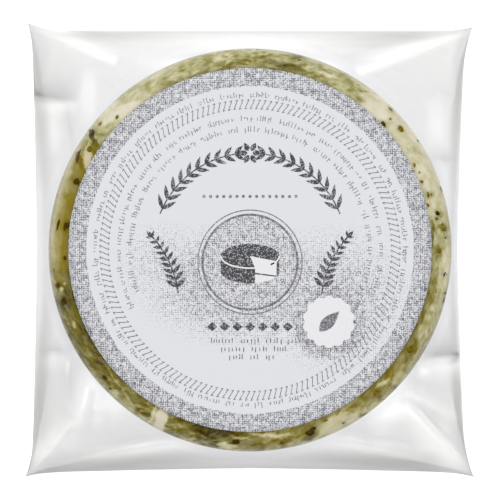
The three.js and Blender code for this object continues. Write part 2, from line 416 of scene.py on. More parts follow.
def curd_material(settings):
    """Fresh goat curd, ladled and rubbed with herb oil: moist and soft, cream where dry and olive where oil sits."""
    material, tree, surface = new_material("Fresh goat curd, ladled and rubbed with herb oil")
    place = add_node(tree, "TexCoord", output="Object")
    x, y, z = add_node(tree, "SeparateXYZ", {"Vector": place}).node.outputs
    angle = add_node(tree, "Math", {0: y, 1: x}, operation="ARCTAN2")
    flat = add_node(tree, "CombineXYZ", {"X": x, "Y": y})
    radius = add_node(tree, "VectorMath", {0: flat}, output="Value", operation="LENGTH")
    # Along the rim, across it and down it in metres
    arc = add_node(tree, "Math", {0: angle, 1: settings.radius}, operation="MULTIPLY")
    rim = add_node(tree, "CombineXYZ", {"X": arc, "Y": radius, "Z": z})
    # Streaks follow the rim, and run straight across the flat faces inside it
    inside = add_node(
        tree, "MapRange", {"Value": radius, "From Min": 33 * MM, "From Max": 36 * MM, "To Min": 1.0, "To Max": 0.0}
    )
    ways = (rim, place, inside)
    # Smears of the ladle about 3 mm long and 0.6 mm wide, slanting one way or the other
    smears = [streaks(tree, ways, slant, 3 * MM, 0.6 * MM) for slant in (24, -10)]
    sweep = add_node(tree, "TexNoise", {"Vector": place, "Scale": 1 / 0.006, "Detail": 1.0})
    sweep = add_node(tree, "MapRange", {"Value": sweep, "From Min": 0.42, "From Max": 0.58})
    smear = add_node(tree, "Mix", {0: sweep, 2: smears[0], 3: smears[1]})
    # Clumps of crushed herbs about 1.5 mm across, and broad patches of them about 3.4 mm long and 1.5 mm wide
    clump = add_node(tree, "TexNoise", {"Vector": place, "Scale": 1 / 0.0015, "Detail": 4.0, "Roughness": 0.6})
    patch = streaks(tree, ways, 14, 3.4 * MM, 1.5 * MM)
    # Their sum is centred on nought
    mottle = -1.125
    for pattern, weight in ((smear, 0.75), (clump, 0.5), (patch, 1.0)):
        mottle = add_node(tree, "Math", {0: pattern, 1: weight, 2: mottle}, operation="MULTIPLY_ADD")
    # Where clear yellow oil has run there are few herbs, and dry curd is hardly mottled
    oil = add_node(tree, "Attribute", output="Fac", attribute_name="oil")
    yellow = add_node(tree, "Attribute", output="Fac", attribute_name="yellow")
    plain = add_node(tree, "MapRange", {"Value": yellow, "From Min": 0.5, "To Min": 1.0, "To Max": 0.3})
    mottle = add_node(tree, "Math", {0: mottle, 1: plain}, operation="MULTIPLY")
    reach = add_node(tree, "MapRange", {"Value": oil, "From Min": 0.05, "From Max": 0.45, "To Min": 0.2})
    soaked = add_node(tree, "Math", {0: mottle, 1: reach, 2: oil}, operation="MULTIPLY_ADD")
    curd = add_node(tree, "ValToRGB", {"Fac": soaked})
    stops = curd.node.color_ramp.elements
    stops.remove(stops[-1])
    tones = ((0.05, settings.cream), (0.34, settings.straw), (0.64, settings.olive), (0.98, settings.dark))
    for index, (position, tone) in enumerate(tones):
        stop = stops.new(position) if index else stops[0]
        stop.position, stop.color = position, rgba(tone)
    yellowed = add_node(tree, "Math", {0: yellow, 1: 0.45}, operation="MULTIPLY")
    # Fresh herbs turn it moss green in spots about 3 mm across
    moss = add_node(tree, "TexNoise", {"Vector": place, "Scale": 1 / 0.003, "Detail": 2.0})
    moss = add_node(tree, "MapRange", {"Value": moss, "From Min": 0.52, "From Max": 0.66, "To Max": 0.5})
    moss = add_node(tree, "Math", {0: moss, 1: reach}, operation="MULTIPLY")
    # Whey leaves a pale veil in bands about 5 mm long and 1.6 mm wide
    veil = streaks(tree, ways, 24, 5 * MM, 1.6 * MM)
    veil = add_node(tree, "MapRange", {"Value": veil, "From Min": 0.45, "From Max": 0.75, "To Max": 0.6})
    for damping in (reach, plain):
        veil = add_node(tree, "Math", {0: veil, 1: damping}, operation="MULTIPLY")
    for factor, tint in ((yellowed, settings.butter), (moss, settings.moss), (veil, settings.veil)):
        curd = add_node(tree, "Mix", {0: factor, 6: curd, 7: rgba(tint)}, output=2, data_type="RGBA")
    bump = add_node(tree, "Bump", {"Height": clump, "Strength": 0.35, "Distance": 0.25 * MM})
    wet = add_node(
        tree, "MapRange", {"Value": soaked, "From Min": 0.1, "From Max": 0.8, "To Min": 0.55, "To Max": 0.28}
    )
    shader = add_node(
        tree,
        "BsdfPrincipled",
        {"Base Color": curd, "Roughness": wet, "IOR": 1.44, "Specular IOR Level": 0.05, "Normal": bump},
    )
    tree.links.new(shader, surface)
    return material


def streaks(tree, ways, slant, length, width):
    """Noise in streaks that slant by an angle in degrees away from the rim, or from +X inside it."""
    *places, inside = ways
    scale = (1 / length, 1 / width, 1 / width)
    patterns = []
    for place in places:
        turn = {"Vector": place, "Angle": math.radians(slant)}
        aslant = add_node(tree, "VectorRotate", turn, rotation_type="Z_AXIS")
        spot = add_node(tree, "VectorMath", {0: aslant, 1: scale}, operation="MULTIPLY")
        grain = {"Vector": spot, "Scale": 1.0, "Detail": 4.0, "Roughness": 0.55, "Distortion": 0.8}
        patterns.append(add_node(tree, "TexNoise", grain))
    return add_node(tree, "Mix", {0: inside, 2: patterns[0], 3: patterns[1]})


def ramp(values, start, end):
    """Rises from nought at the start to one at the end."""
    return np.clip((values - start) / (end - start), 0, 1)


def smooth(values):
    """Eases a rise from nought to one at both ends."""
    return values * values * (3 - 2 * values)


def curd_fields(settings, points, rng):
    """How far the oil has soaked in, and how yellow it is, at points of the curd in millimetres."""
    angle = np.degrees(np.arctan2(points[:, 1], points[:, 0])) % 360
    across = np.hypot(points[:, 0], points[:, 1])
    half_height, centre = cheese_levels(settings)
    radius, shoulder = settings.radius / MM, settings.shoulder / MM
    top, bottom = centre + half_height - shoulder, centre - half_height + shoulder
    # Distance from the middle over the top, down the side and in again below
    down = np.where(points[:, 2] > bottom, top - points[:, 2], top - bottom + radius - across)
    out = np.where(points[:, 2] > top, across, radius + down)
    places, shares, extras = zip(*OIL)
    oil = np.interp(angle, places, shares) + np.interp(angle, places, extras) * ramp(out, 39.4, 37.0)
    # It is lighter on the turn of the shoulder, and yellow oil stays on top
    oil -= 0.12 * ramp(out, 38.6, 39.8)
    yellow = np.interp(angle, *zip(*YELLOW)) * ramp(out, 40.2, 38.2)
    # Below, the oil has soaked in as broad patches
    spots = [Vector(point) for point in points]
    under = ramp(out, 54, 60)
    broad = np.array([noise.noise(spot * 0.09) for spot in spots])
    small = np.array([noise.noise(spot * 0.3) for spot in spots])
    oil += (0.38 + 0.4 * broad + 0.25 * small - oil) * under
    yellow = np.maximum(yellow, under * np.clip(0.6 * small, 0, 1))
    # The bounds of a mark wander a little, by one noise along the rim and by another across it
    wander = np.array(
        [
            [0.55 * noise.noise(spot * 0.6 + shift) + 0.3 * noise.noise(spot * 2.1 + shift) for shift in WANDER]
            for spot in spots
        ]
    )
    marks = list(MARKS)
    for _ in range(SIDE_MARKS):
        place, length = rng.uniform(41, 75), rng.uniform(1, 9)
        width = length * rng.uniform(0.15, 0.5)
        degrees, slant = rng.uniform(0, 360), rng.uniform(-40, 40)
        marks.append((degrees, place, length, width, slant, rng.choice(SIDE_SOAKS)))
    for degrees, place, length, width, slant, soak in marks:
        along = np.radians((degrees - angle + 180) % 360 - 180) * radius + wander[:, 0]
        away = out - place + 0.7 * wander[:, 1]
        turn = math.radians(slant)
        u = (along * math.cos(turn) + away * math.sin(turn)) * 2 / length
        v = (away * math.cos(turn) - along * math.sin(turn)) * 2 / width
        # Narrow marks are softer
        soft = 0.25 + 0.5 / width
        oil += (soak - oil) * smooth(ramp(np.hypot(u, v), 1 + soft / 2, 1 - soft / 2))
    # Each fleck has stained the curd round it
    for degrees, place, length, width, _ in NOTED_FLECKS:
        along = np.radians((degrees - angle + 180) % 360 - 180) * radius
        oil += 0.2 * np.exp(-((along / (0.9 * length)) ** 2) - ((out - place) / (1.1 * width)) ** 2)
    return oil, yellow


class CROTTIN_OT_cheese(bpy.types.Operator):
    """Makes the round of soft cheese"""

    bl_idname = "crottin.cheese"
    bl_label = "Cheese"

    def execute(self, context):
        settings = context.scene.crottin_cheese
        outline = cheese_profile(settings, UNDER_RINGS)
        around = CHEESE_AROUND
        half_height, centre = cheese_levels(settings)
        vertices = []
        for place in outline:
            for step in range(around):
                point, _ = cheese_place(settings, 2 * math.pi * step / around, place)
                vertices.append(point)
        faces = [face[::-1] for face in ring_faces(len(outline), around)]
        top, bottom = len(vertices), len(vertices) + 1
        vertices += [(0, 0, centre + half_height), (0, 0, centre - half_height)]
        last = (len(outline) - 1) * around
        faces += [(top, step, (step + 1) % around) for step in range(around)]
        faces += [(bottom, last + (step + 1) % around, last + step) for step in range(around)]
        piece = make_piece("cheese", vertices, faces, curd_material(settings))
        fields = curd_fields(settings, np.array(vertices), random.Random(CURD_SEED))
        for name, values in zip(("oil", "yellow"), fields):
            piece.data.attributes.new(name, "FLOAT", "POINT").data.foreach_set("value", values.tolist())
        # Light scattered in the curd keeps the film beside it bright
        piece.visible_shadow = False
        return {"FINISHED"}


# Herbs


def fleck_material(name, tint, dark):
    """Dried leaf or spice, crushed and steeped in oil: dull, uneven in tone from fleck to fleck and within one."""
    material, tree, surface = new_material(name)
    place = add_node(tree, "TexCoord", output="Object")
    # Tone changes from fleck to fleck, about 2 mm apart, and within one over about 0.4 mm
    broad = add_node(tree, "TexNoise", {"Vector": place, "Scale": 1 / 0.002, "Detail": 1.0})
    fine = add_node(tree, "TexNoise", {"Vector": place, "Scale": 1 / 0.0004, "Detail": 2.0})
    both = add_node(tree, "Math", {0: broad, 1: fine}, operation="MULTIPLY")
    factor = add_node(tree, "MapRange", {"Value": both, "From Min": 0.12, "From Max": 0.42})
    coloured = add_node(tree, "Mix", {0: factor, 6: rgba(dark), 7: rgba(tint)}, output=2, data_type="RGBA")
    bump = add_node(tree, "Bump", {"Height": fine, "Strength": 0.5, "Distance": 0.1 * MM})
    shader = add_node(
        tree,
        "BsdfPrincipled",
        {"Base Color": coloured, "Roughness": 0.5, "IOR": 1.47, "Specular IOR Level": 0.05, "Normal": bump},
    )
    tree.links.new(shader, surface)
    return material


def add_fleck(mesh, rng, point, normal, heading, length, width):
    """Adds one torn, slightly cupped flake of leaf, lying on the curd, to lists of vertices and faces."""
    vertices, faces = mesh
    side = normal.cross(heading).normalized()
    heading = side.cross(normal).normalized()
    corners = rng.randint(6, 8)
    start = len(vertices)
    rims = []
    for corner in range(corners):
        turn = 2 * math.pi * (corner + rng.uniform(-0.25, 0.25)) / corners
        reach = rng.uniform(0.72, 1.12)
        along, across = math.cos(turn) * length / 2 * reach, math.sin(turn) * width / 2 * reach
        curl = rng.uniform(-0.02, 0.07)
        rims.append(point + heading * along + side * across + normal * curl)
    vertices.append(point + normal * FLECK_RISE)
    vertices.append(point - normal * FLECK_SINK)
    vertices.extend(rims)
    for corner in range(corners):
        a, b = start + 2 + corner, start + 2 + (corner + 1) % corners
        faces.append((start, a, b))
        faces.append((start + 1, b, a))


class CROTTIN_OT_herbs(bpy.types.Operator):
    """Scatters herb and spice flecks over the cheese"""

    bl_idname = "crottin.herbs"
    bl_label = "Herbs"

    def execute(self, context):
        settings = context.scene.crottin_cheese
        rng = random.Random(HERB_SEED)
        outline = cheese_profile(settings)
        meshes = {kind: ([], []) for kind in (LEAF, DARK, SPICE)}
        shoulder = outline[TOP_RINGS : TOP_RINGS + SHOULDER_STEPS + 1]
        for degrees, radius, length, width, kind in NOTED_FLECKS:
            place = min(shoulder, key=lambda spot: abs(spot[0] - radius))
            point, normal = cheese_place(settings, math.radians(degrees), place)
            heading = Vector((-normal.y, normal.x, rng.uniform(-0.5, 0.5)))
            # Torn corners take off about a quarter of the size
            add_fleck(meshes[kind], rng, point, normal, heading, 1.35 * length, 1.3 * width)
        # The rest lie on the side and below, with few on the shoulder and fewer towards the middle
        spread = outline[TOP_RINGS - 2 : -1]
        for _ in range(settings.scatter):
            place = rng.choice(spread)
            if rng.random() > (0.12 if place[3] > 0.05 else place[0] / 40):
                continue
            point, normal = cheese_place(settings, rng.uniform(0, 2 * math.pi), place)
            heading = Vector((rng.uniform(-1, 1), rng.uniform(-1, 1), rng.uniform(-1, 1)))
            length = rng.uniform(0.3, 0.8) if place[3] > 0.3 else rng.uniform(0.4, 1.6)
            kind = rng.choices((LEAF, DARK, SPICE), (4, 5, 2))[0]
            add_fleck(meshes[kind], rng, point, normal, heading, length, length * rng.uniform(0.35, 0.85))
        looks = {
            LEAF: fleck_material("Dried green herb, crushed and steeped in oil", settings.leaf, settings.dark_leaf),
            DARK: fleck_material(
                "Dried dark herb, crushed and steeped in oil", settings.dark_leaf, settings.deep_leaf
            ),
            SPICE: fleck_material("Dried red spice, crushed and steeped in oil", settings.spice, settings.deep_spice),
        }
        for kind, (vertices, faces) in meshes.items():
            make_piece(kind, vertices, faces, looks[kind], smooth=False)
        return {"FINISHED"}


# Film


def edge_out(middle, bow, tip_out, place):
    """How far out the sealed edge of a side lies, at a share of the way from its middle to a tip."""
    return middle + bow * place**BOW_POWER + (tip_out - middle - bow) * place**FLARE_POWER


def painted_edge_shade(x, y):
    """Painted shade on the film beside the sides of the sealed edge, where it turns steeply down."""
    grey = np.zeros_like(x)
    for index, (middle, bow, width, depth) in enumerate(SIDES):
        turn = index * math.pi / 2
        out, along = turned(x, y, -turn)
        after = turned(*TIPS[index][:2], -turn)
        before = turned(*TIPS[(index + 3) % 4][:2], -turn)
        tip_out = np.where(along > 0, after[0], before[0])
        place = np.clip(along / np.where(along > 0, after[1], before[1]), 0, 1)
        away = edge_out(middle, bow, tip_out, place) - out
        grey = np.maximum(grey, depth * smooth(ramp(away, width, width * 2 / 7)))
    return grey


def film_lines(settings, steps):
    """Lines down the film: its end on the sealed edge and its direction from the cheese.

    They run anticlockwise from the near right tip.
    """
    seal, leave = [], []
    top = settings.seal_height / MM
    for index, (middle, bow, *_) in enumerate(SIDES):
        turn = index * math.pi / 2
        for count in range(steps):
            step = 2 * count / steps - 1
            place = 1 - (1 - abs(step)) ** TIP_POWER
            tip = TIPS[(index + 3) % 4] if step < 0 else TIPS[index]
            tip_out, tip_along = turned(tip[0], tip[1], -turn)
            out = edge_out(middle, bow, tip_out, place)
            seal.append((*turned(out, place * tip_along, turn), top - (top - tip[2]) * place**DROOP_POWER))
            swing = turn + math.pi / 4 * (LEAVE_SHARE * step + (1 - LEAVE_SHARE) * step**3)
            leave.append((math.cos(swing), math.sin(swing), 0))
    return np.array(seal), np.array(leave)


def fold_height(x, y):
    """Height that the folds add to the film, each fading towards both ends of its line."""
    height = np.zeros_like(x)
    for (x0, y0), (x1, y1), rise, left, right in FOLDS:
        dx, dy = x1 - x0, y1 - y0
        length = math.hypot(dx, dy)
        along = ((x - x0) * dx + (y - y0) * dy) / length**2
        away = (dx * (y - y0) - dy * (x - x0)) / length
        spread = np.abs(away) / np.where(away > 0, left, right)
        profile = np.exp(-(spread**2)) if rise > 0 else np.exp(0.2 - np.sqrt(spread**2 + 0.04))
        height += rise * profile * np.sin(np.clip(along, 0, 1) * math.pi) ** 0.8
    return height


def film_sheet(settings, lines, up, rings):
    """One sheet of film from the rim of its flat face to the seal: points, painted highlight on ridges, painted
    shade.
    """
    seal, leave = lines
    radius = settings.radius / MM
    face = np.array((0, 0, POUCH_HIGH[2] / MM - FILM_INSET if up > 0 else POUCH_LOW[2] / MM + FILM_INSET))
    edge = seal + np.array((0, 0, up * settings.seal_thickness / MM / 2))
    rim = face + leave * radius
    reach = np.hypot(*(edge - rim).T[:2])
    lift = WALL_LIFT + (TENT_LIFT - WALL_LIFT) * reach / reach.max()
    fall = (rim + edge) / 2
    fall[:, 2] = edge[:, 2] + (face[2] - edge[:, 2]) * lift
    part = np.linspace(0, 1, rings)[:, None, None]
    points = (
        (1 - part) ** 3 * (face + leave * (radius - settings.shoulder / MM))
        + 3 * (1 - part) ** 2 * part * (face + leave * (radius + settings.stand_off / MM))
        + 3 * (1 - part) * part**2 * fall
        + part**3 * edge
    )
    # Folds and small crumples stand up from the film, and die out at the seal and on the cheese
    x, y = points[..., 0], points[..., 1]
    away = np.linalg.norm(points - edge, axis=2)
    crumple = [
        [noise.noise(spot) + 0.4 * noise.noise(spot * 2.6) for spot in map(Vector, ring)] for ring in points * 0.3
    ]
    folds = fold_height(x, y)
    swell = folds * (1 if up > 0 else UNDER_SHARE) + settings.crumple / MM * np.array(crumple)
    swell *= ramp(np.hypot(x, y), radius - 0.4, radius + 1.6) * ramp(away, 0, 4)
    # Painted highlight along the ridges, together with the film's stress whitening
    ridge = ramp(folds, 0, 0.6)
    # Painted shade in the creases and on the steep film beside the seal, less under a painted highlight
    grey = np.maximum(painted_edge_shade(x, y) * (1 - 0.8 * ridge), ramp(folds, 0, -2))
    points[..., 2] += up * swell
    return points, ridge, grey


def film_material(settings):
    """Clear packing film, cast and heat-sealed: glossy, nearly clear where it lies wet, milky where it is loose."""
    material, tree, surface = new_material("Clear packing film, cast and heat-sealed")
    # Painted highlight along the ridges, together with stress whitening
    ridge = add_node(tree, "Attribute", output="Fac", attribute_name="ridge")
    # Painted shade in the creases and beside the seal
    seal = add_node(tree, "Attribute", output="Fac", attribute_name="seal")
    place = add_node(tree, "TexCoord", output="Object")
    flat = add_node(tree, "VectorMath", {0: place, 1: (1, 1, 0)}, operation="MULTIPLY")
    out = add_node(tree, "VectorMath", {0: flat}, output="Value", operation="LENGTH")
    edge = settings.edge
    # The film leaves the wet curd along a line just inside the cheese's side
    loose = add_node(tree, "MapRange", {"Value": out, "From Min": edge - 0.12 * MM, "From Max": edge + 0.16 * MM})
    haze = add_node(tree, "MapRange", {"Value": loose, "To Min": settings.cling_haze, "To Max": settings.haze})
    # Its milkiness starts as a thin veil on the shoulder
    veil = add_node(
        tree, "MapRange", {"Value": out, "From Min": edge - 1.3 * MM, "From Max": edge, "To Max": settings.veil}
    )
    haze = add_node(tree, "Math", {0: haze, 1: veil}, operation="MAXIMUM")
    # It is milkiest beside the cheese, where it is drawn tight, and clearer lower down, where it hangs slack
    tight = add_node(
        tree, "MapRange", {"Value": out, "From Min": edge, "From Max": edge + 2.5 * MM, "To Min": 1.16, "To Max": 1.0}
    )
    level = add_node(tree, "SeparateXYZ", {"Vector": place}, output="Z")
    slack = add_node(
        tree,
        "MapRange",
        {"Value": level, "From Min": 13 * MM, "From Max": 23 * MM, "To Min": settings.slack_haze, "To Max": 1.0},
    )
    for change in (tight, slack):
        haze = add_node(tree, "Math", {0: haze, 1: change}, operation="MULTIPLY")
    # Fine stretch marks about 1.5 mm apart
    marks = add_node(tree, "TexNoise", {"Vector": place, "Scale": 1 / 0.0015, "Detail": 2.0})
    bump = add_node(tree, "Bump", {"Height": marks, "Strength": 0.12, "Distance": 0.1 * MM})
    # Film that lies wet on the curd has lost most of its gloss
    shine = add_node(tree, "MapRange", {"Value": loose, "To Min": 0.04, "To Max": 0.9})
    gloss = add_node(tree, "Fresnel", {"IOR": 1.5, "Normal": bump})
    solid = add_node(tree, "Math", {0: gloss, 1: shine, 2: haze}, operation="MULTIPLY_ADD")
    solid = add_node(tree, "Math", {0: solid, 1: 0.97}, operation="MINIMUM")
    clear = add_node(tree, "BsdfTransparent", {"Color": rgba(settings.tint)})
    # White along its ridges, stress whitening that also paints highlights; painted shade in its creases and by the
    # seal
    body = rgba(settings.haze_colour)
    for factor, tint in ((ridge, settings.ridge_whitening_and_highlight), (seal, settings.crease_and_edge_shade_colour)):
        body = add_node(tree, "Mix", {0: factor, 6: body, 7: rgba(tint)}, output=2, data_type="RGBA")
    milky = add_node(
        tree,
        "BsdfPrincipled",
        {"Base Color": body, "Roughness": 0.26, "IOR": 1.5, "Specular IOR Level": 0.8, "Normal": bump},
    )
    # The sealing bar has crushed the gloss at the edge; the painted shade mask sets where, so creases are matt too
    matt = add_node(
        tree, "BsdfPrincipled", {"Base Color": body, "Roughness": 0.9, "IOR": 1.5, "Specular IOR Level": 0.0}
    )
    milky = add_node(tree, "MixShader", {0: seal, 1: milky, 2: matt})
    film = add_node(tree, "MixShader", {0: solid, 1: clear, 2: milky})
    tree.links.new(film, surface)
    return material


class CROTTIN_OT_film(bpy.types.Operator):
    """Makes the clear film pouch round the cheese"""

    bl_idname = "crottin.film"
    bl_label = "Film pouch"

    def execute(self, context):
        settings = context.scene.crottin_film
        lines = film_lines(settings, FILM_STEPS)
        around = len(SIDES) * FILM_STEPS
        vertices, faces, ridged, sealed, rims = [], [], [], [], []
        for up, rings in ((1, UPPER_RINGS), (-1, LOWER_RINGS)):
            # Each sheet gives the painted highlight along its ridges and the painted shade in its creases and beside
            # the seal
            points, ridge, grey = film_sheet(settings, lines, up, rings)
            middle = np.array((0, 0, points[0, 0, 2]))
            inner = [middle + (points[0] - middle) * ring / FLAT_RINGS for ring in range(1, FLAT_RINGS)]
            sheet = np.concatenate((np.array(inner), points))
            start = len(vertices)
            vertices += [*sheet.reshape(-1, 3).tolist(), middle.tolist()]
            for values, shares in ((ridged, ridge), (sealed, grey)):
                values += [0.0] * (len(inner) * around) + shares.reshape(-1).tolist() + [0.0]
            sheet_faces = ring_faces(len(sheet), around, start)
            hub = start + len(sheet) * around
            rims.append(hub - around)
            sheet_faces += [(hub, start + (step + 1) % around, start + step) for step in range(around)]
            faces += [face[::-1] for face in sheet_faces] if up > 0 else sheet_faces
        high, low = rims
        for step in range(around):
            following = (step + 1) % around
            faces.append((high + step, low + step, low + following, high + following))
        piece = make_piece("pouch_film", vertices, faces, film_material(settings))
        # Painted highlight along the ridges, and painted shade in the creases and beside the seal
        for name, values in (("ridge", ridged), ("seal", sealed)):
            piece.data.attributes.new(name, "FLOAT", "POINT").data.foreach_set("value", values)
        # Clear film hardly shades what lies under it
        piece.visible_shadow = False
        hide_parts("pouch")
        return {"FINISHED"}


# Label


class Print:
    """Flat shapes of one ink, each a thin closed plate on the paper."""

    def __init__(self, low, high):
        self.low, self.high, self.plates = low, high, 0
        self.vertices, self.faces = [], []

    def shape(self, outline):
        """Adds a plate with an anticlockwise outline. Neighbours differ a little in height, so none share a face."""
        start, count = len(self.vertices), len(outline)
        self.plates += 1
        stagger = self.plates % 7 * 0.0012
        low, high = self.low - stagger, self.high + stagger
        self.vertices += [(x, y, low) for x, y in outline] + [(x, y, high) for x, y in outline]
        self.faces.append(tuple(start + count + i for i in range(count)))
        self.faces.append(tuple(start + count - 1 - i for i in range(count)))
        for i in range(count):
            j = (i + 1) % count
            self.faces.append((start + i, start + j, start + count + j, start + count + i))

    def line(self, a, b, width):
        """Adds a straight stroke."""
        direction = (b[0] - a[0], b[1] - a[1])
        length = math.hypot(*direction)
        x, y = -direction[1] / length * width / 2, direction[0] / length * width / 2
        self.shape([(a[0] - x, a[1] - y), (b[0] - x, b[1] - y), (b[0] + x, b[1] + y), (a[0] + x, a[1] + y)])

    def dot(self, centre, radius, corners=10):
        """Adds a round dot."""
        self.shape([polar(radius, 2 * math.pi * corner / corners, centre) for corner in range(corners)])

    def leaf(self, base, turn, length, width):
        """Adds a pointed leaf that grows from its base."""
        outline = []
        for side, steps in ((-1, range(9)), (1, range(7, 0, -1))):
            for along in (step / 8 for step in steps):
                across = side * width / 2 * math.sin(math.pi * along**0.8)
                outline.append(turned(along * length, across, turn, base))
        self.shape(outline)

    def arc(self, radius, width, start, end, centre=(0, 0)):
        """Adds an arc from an angle to a larger one, in degrees."""
        steps = max(3, int((end - start) / 4))
        for step in range(steps):
            a, b = (math.radians(start + (end - start) * (step + i) / steps) for i in (0, 1))
            self.line(polar(radius, a, centre), polar(radius, b, centre), width)

    def take(self, other):
        """Adds the plates of another print."""
        shift = len(self.vertices)
        self.vertices += other.vertices
        self.faces += [tuple(i + shift for i in face) for face in other.faces]


# Places and sizes of the label's two round fields, in millimetres from its middle
MEDALLION, MEDALLION_RADIUS = (0.0, -2.4), 9.4
SEAL, SEAL_RADIUS = (15.6, -14.2), 5.2


def tick_ring(ink, rng, radius, height, start, end):
    """Groups of small upright ticks round a ring, like print too fine to read."""
    angle = end
    while angle > start:
        for _ in range(rng.randint(3, 9)):
            bend = math.radians(angle)
            low, high = rng.choice(((0, 0.62), (0, 0.62), (0, 1.0), (0.3, 0.62), (-0.25, 0.62)))
            ink.line(polar(radius + low * height, bend), polar(radius + high * height, bend), 0.13)
            if rng.random() < 0.55:
                level = rng.choice((0.05, 0.32, 0.58)) * height
                foot = bend - math.radians(0.9 * 24 / radius)
                ink.line(polar(radius + level, bend), polar(radius + level, foot), 0.12)
            angle -= math.degrees(rng.choice((0.45, 0.6, 0.7)) / radius)
        angle -= math.degrees(rng.uniform(0.7, 1.3) / radius)


def tick_line(ink, rng, half_width, y, height):
    """A straight line of the same small ticks."""
    x = -half_width
    while x < half_width:
        for _ in range(rng.randint(3, 8)):
            low, high = rng.choice(((0, 0.7), (0, 0.7), (0, 1.0), (-0.25, 0.7)))
            ink.line((x, y + low * height), (x, y + high * height), 0.2)
            x += rng.choice((0.5, 0.65, 0.8))
        x += rng.uniform(0.7, 1.2)


def rope_ring(ink, radius, height, strands):
    """A rope border of slanted strands, each hooked at both ends."""
    pitch = 2 * math.pi / strands
    for strand in range(strands):
        angle = pitch * strand
        low, high = polar(radius, angle), polar(radius + height, angle - 0.85 * pitch)
        ink.line(low, high, 0.14)
        ink.line(high, polar(radius + 0.9 * height, angle - 0.4 * pitch), 0.12)
        ink.line(low, polar(radius + 0.1 * height, angle - 0.45 * pitch), 0.12)


def garland(ink, radius, start, end, count):
    """Paired leaves along an arc, growing from both ends towards the top."""
    for half in (1, -1):
        for step in range(count):
            degrees = start + (end - start) * (step + 0.5) / count
            angle = math.radians(90 + half * (90 - degrees))
            heading = angle - half * math.pi / 2
            base = polar(radius, angle)
            length = 3.1 - 0.8 * step / count
            for side in (1, -1):
                ink.leaf(base, heading + side * math.radians(38), length, 0.82)
        outer = [90 + half * (90 - start), 90 + half * (90 - end)]
        ink.arc(radius, 0.25, min(outer), max(outer))


def sprig(ink, base, half, length):
    """A sprig of small paired leaves that leans outwards."""
    point, heading = base, math.pi / 2 - half * 0.15
    steps = 9
    for step in range(steps):
        following = polar(length / steps, heading, point)
        ink.line(point, following, 0.3)
        leaf = 2.6 * (1 - 0.55 * step / steps)
        for side in (1, -1):
            ink.leaf(following, heading + side * math.radians(52), leaf, leaf * 0.36)
        point = following
        heading -= half * 0.07
    ink.leaf(point, heading, 1.6, 0.8)


def draw_label(paper_top):
    """The label's ornaments in three inks: black, grey and white. Sizes are in millimetres."""
    rng = random.Random(PRINT_SEED)
    black = Print(paper_top - 0.05, paper_top + 0.025)
    grey = Print(paper_top - 0.06, paper_top + 0.014)
    white = Print(paper_top - 0.07, paper_top + 0.003)
    pale = Print(paper_top - 0.04, paper_top + 0.035)
    tick_ring(grey, rng, 30.3, 1.05, 0, 360)
    rope_ring(grey, 27.9, 1.9, 164)
    tick_ring(grey, rng, 25.6, 1.05, -26, 206)
    tick_ring(grey, rng, 23.4, 1.1, -20, 200)
    garland(black, 19.2, 22, 84, 10)
    for petal in range(6):
        black.leaf(polar(0.5, petal * math.pi / 3, (0, 19.2)), petal * math.pi / 3, 1.8, 1.1)
    for step in range(-7, 8):
        grey.dot((step * 1.3, 10.6), 0.325)
    for step in range(-3, 4):
        black.shape([(step * 2.5 + x, -15.2 + y) for x, y in ((1.0, 0), (0, 0.9), (-1.0, 0), (0, -0.9))])
    grey.arc(MEDALLION_RADIUS, 0.4, 0, 360, MEDALLION)
    grey.arc(MEDALLION_RADIUS + 0.9, 0.2, 0, 360, MEDALLION)
    # A cheese round with a wedge cut out of it
    x, y = MEDALLION
    rims = [polar(1, math.pi * step / 16) for step in range(17)]
    wide, deep, upper, lower = 5.8, 2.4, y + 1.2, y - 1.8
    back = [(x + wide * a, upper + deep * b) for a, b in rims]
    black.shape(back + [(x - wide * a, lower - deep * b) for a, b in rims])
    left, right = (math.radians(degrees) for degrees in (-80, -25))
    bends = [left + (right - left) * step / 6 for step in range(7)]
    front = [(x + wide * math.cos(bend), upper + deep * math.sin(bend)) for bend in bends]
    foot = (front[0][0], y - 2.1)
    end = front[-1]
    pale.shape([(x, upper), front[0], foot, (end[0], end[1] - 2.85), end])
    pale.shape([(foot[0], foot[1] - 0.3)] + [(a, b - 3.0) for a, b in front[:-1]] + [(end[0], end[1] - 3.1)])
    brim = [(x - wide * a, upper - deep * b) for a, b in rims]
    for a, b in zip(brim, brim[1:]):
        pale.line(a, b, 0.3)
    for half in (1, -1):
        sprig(black, (half * 14.2, -8.6), half, 12.5)
    for level, half_width in ((-18.4, 7.6), (-20.0, 5.6), (-21.6, 4.0)):
        tick_line(grey, rng, half_width, level, 1.0)
    # A plain scalloped seal with a leaf
    turns = [math.pi * step / 84 for step in range(168)]
    white.shape([polar(SEAL_RADIUS - 0.5 + 0.5 * abs(math.sin(7 * turn)), turn, SEAL) for turn in turns])
    grey.leaf((SEAL[0] - 1.9, SEAL[1] - 1.9), math.radians(45), 5.6, 2.4)
    white.take(pale)
    return {"label_black_ink": black, "label_grey_ink": grey, "label_white": white}


def disc_mask(tree, place, centre, radius, soft):
    """One inside a circle in the label's plane, in millimetres, and nought outside it."""
    middle = (centre[0] * MM, centre[1] * MM, 0)
    away = add_node(tree, "VectorMath", {0: place, 1: middle}, output="Value", operation="DISTANCE")
    near, far = (radius - soft) * MM, (radius + soft) * MM
    fade = {"Value": away, "From Min": near, "From Max": far, "To Min": 1.0, "To Max": 0.0}
    return add_node(tree, "MapRange", fade, interpolation_type="SMOOTHSTEP")


